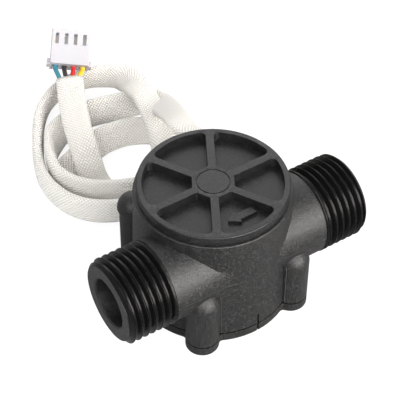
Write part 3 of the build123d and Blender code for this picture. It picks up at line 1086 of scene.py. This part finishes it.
class Interior:
    """Finishes for the pieces that keep their CAD shape: screws, seals, probe, impeller and electronics."""

    def dress(self, frame: dict) -> list[bpy.types.Object]:
        """Gives every carried-over node its finish.

        Args:
            frame: the loaded frame.

        Returns:
            The dressed pieces.
        """
        steel = Metal("stainless_steel", (0.56, 0.55, 0.54), 0.3).material()
        rubber = Rubber("seal_rubber").material()
        finishes = {
            "cover_seal": rubber,
            "probe_seal": rubber,
            "cable_grommet": Rubber("grommet_rubber", (0.02, 0.02, 0.021)).material(),
            "shaft": steel,
            "temperature_probe": steel,
            "impeller": SmoothPlastic("impeller_acetal", (0.78, 0.77, 0.74), 0.38, 0.1).material(),
            "impeller_bush": SmoothPlastic("bush_polymer", (0.03, 0.03, 0.032), 0.25).material(),
            "magnet_ring": Metal("ferrite", (0.05, 0.05, 0.053), 0.55, 0.0).material(),
            "lower_thrust_washer": SmoothPlastic("washer_polymer", (0.72, 0.66, 0.52), 0.3).material(),
            "upper_thrust_washer": SmoothPlastic("washer_polymer_top", (0.72, 0.66, 0.52), 0.3).material(),
            "sensor_board": SmoothPlastic("board_lacquer", (0.02, 0.16, 0.06), 0.25).material(),
            "hall_element": SmoothPlastic("chip_case", (0.02, 0.02, 0.021), 0.45).material(),
            "board_resistor": SmoothPlastic("resistor_case", (0.03, 0.03, 0.032), 0.4).material(),
            "board_capacitor": SmoothPlastic("capacitor_body", (0.42, 0.28, 0.14), 0.4).material(),
        }
        dressed = []
        for node, piece in frame["nodes"].items():
            finish = steel if node.startswith("cover_screw") else finishes.get(node)
            if finish is not None:
                give(piece, finish)
                dressed.append(piece)
        return dressed


@dataclass(frozen=True)
class Softbox:
    """One square lamp that faces the object, away by some metres along a direction from it."""

    name: str
    way: Direction
    away: float
    power: float
    colour: Colour
    size: float = 0.9
    aim: tuple[float, float, float] = (0.0, 0.01, 0.015)

    def build(self) -> None:
        """Sets the lamp up."""
        data = bpy.data.lights.new(self.name, "AREA")
        data.size = self.size
        data.energy = self.power
        data.color = self.colour
        lamp = link(self.name, data)
        direction = Vector(self.way).normalized()
        lamp.location = Vector(self.aim) + direction * self.away
        lamp.rotation_mode = "QUATERNION"
        lamp.rotation_quaternion = direction.to_track_quat("Z", "Y")


@dataclass
class Studio:
    """White sweep, soft lights and the camera.

    The floor's sizes are in metres. Its greys are white to the light, mirrored in reflections and
    shadow to the camera, to which it glows as well.
    """

    camera_mm: tuple[float, float, float] = (-135.02, -201.83, 279.08)
    right: Direction = (0.840948, -0.541091, 0.00531)
    upward: Direction = (0.385676, 0.606233, 0.695511)
    back: Direction = (-0.379554, -0.582841, 0.718495)
    focal_px: float = 1496.74
    image_px: float = 400.0
    sensor_mm: float = 36.0
    clip: tuple[float, float] = (0.01, 20.0)
    bright_side: Direction = (0.55, 0.75, 0.36)
    sky: tuple[float, float] = (0.16, 1.04)
    white: float = 0.8
    mirrored: float = 0.26
    shadow: float = 0.16
    glow: float = 0.88
    floor_half: float = 3.0
    floor_z: float = -0.00005
    lamps: tuple[Softbox, ...] = (
        Softbox("front_softbox", (0.2, -0.92, 0.2), 0.8, 30.0, (1.0, 0.965, 0.93)),
        Softbox("back_softbox", (0.42, 0.72, 0.56), 1.0, 4.3, (1.0, 0.99, 0.975)),
        Softbox("left_fill", (-0.5, -0.4, 0.6), 0.7, 4.3, (0.98, 0.985, 1.0), size=0.5),
    )

    def build(self) -> None:
        """Builds everything around the object."""
        self._camera()
        self._world()
        self._floor()
        for lamp in self.lamps:
            lamp.build()

    def _camera(self) -> None:
        """The camera at the photograph's place."""
        data = bpy.data.cameras.new("camera")
        data.sensor_width = self.sensor_mm
        data.lens = self.focal_px / self.image_px * self.sensor_mm
        data.clip_start, data.clip_end = self.clip
        camera = link("camera", data)
        turn = Matrix((self.right, self.upward, self.back)).transposed().to_4x4()
        camera.matrix_world = Matrix.Translation(Vector(self.camera_mm) * MM) @ turn
        bpy.context.scene.camera = camera

    def _world(self) -> None:
        """A sky that is brighter at the back, and full white where the camera looks past the object."""
        world = bpy.data.worlds.new("studio")
        graph = Graph(world)
        way = graph.add("ShaderNodeTexCoord", output="Generated")
        facing = {0: way, 1: self.bright_side}
        side = graph.add("ShaderNodeVectorMath", {"operation": "DOT_PRODUCT"}, facing, "Value")
        low, high = self.sky
        light = side * ((high - low) / 2) + (high + low) / 2
        seen = graph.add("ShaderNodeLightPath", output="Is Camera Ray")
        sky = {"Color": (1.0, 1.0, 1.0), "Strength": light + seen * (1.0 - light)}
        background = graph.add("ShaderNodeBackground", inputs=sky)
        graph.node("ShaderNodeOutputWorld", inputs={"Surface": background})
        bpy.context.scene.world = world

    def _floor(self) -> None:
        """A white floor: plain for the light, dimmer in reflections, and a faint shadow to the camera."""
        data = bpy.data.meshes.new("floor")
        half, low = self.floor_half, self.floor_z
        corners = [(-half, -half, low), (half, -half, low), (half, half, low), (-half, half, low)]
        data.from_pydata(corners, [], [(0, 1, 2, 3)])
        floor = link("floor", data)
        graph = Graph.named("white_floor")
        plain, dim, faint = (
            graph.add("ShaderNodeBsdfDiffuse", inputs={"Color": (level, level, level)})
            for level in (self.white, self.mirrored, self.shadow)
        )
        glow = graph.add("ShaderNodeEmission", inputs={"Strength": self.glow})
        seen = graph.add("ShaderNodeAddShader", inputs={0: faint, 1: glow})
        glossy_ray = graph.add("ShaderNodeLightPath", output="Is Glossy Ray")
        camera_ray = graph.add("ShaderNodeLightPath", output="Is Camera Ray")
        unseen = graph.add("ShaderNodeMixShader", inputs={0: glossy_ray, 1: plain, 2: dim})
        mixed = graph.add("ShaderNodeMixShader", inputs={0: camera_ray, 1: unseen, 2: seen})
        give(floor, graph.close(mixed))


def main() -> None:
    """Builds the scene in order and reports each piece."""
    logging.basicConfig(level=logging.INFO, format="%(name)s: %(message)s")
    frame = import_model()
    bpy.context.scene.view_settings.view_transform = "Standard"
    Studio().build()
    LOG.info("studio built")
    body = Moulding("body_nylon", lines=MouldLines())
    lid = Moulding("lid_nylon", (0.003, 0.003, 0.0032), 0.36, 0.4, grain_depth=0.09, fleck=4.0)
    cover = Moulding("cover_nylon")
    pieces = Harness().build(frame)
    pieces.append(ThreadedBody("body", "moulded_body", "moulding", body).build(frame))
    pieces.append(Shell("top_cover", "ribbed_lid", "lid", lid).build(frame))
    pieces.append(Shell("bottom_cover", "base_cover", "moulding", cover, ease_mm=0.26).build(frame))
    pieces.extend(Interior().dress(frame))
    for piece in pieces:
        LOG.info("%s: %s", piece.name, ", ".join(worn.name for worn in piece.data.materials))


if __name__ == "__main__":
    main()
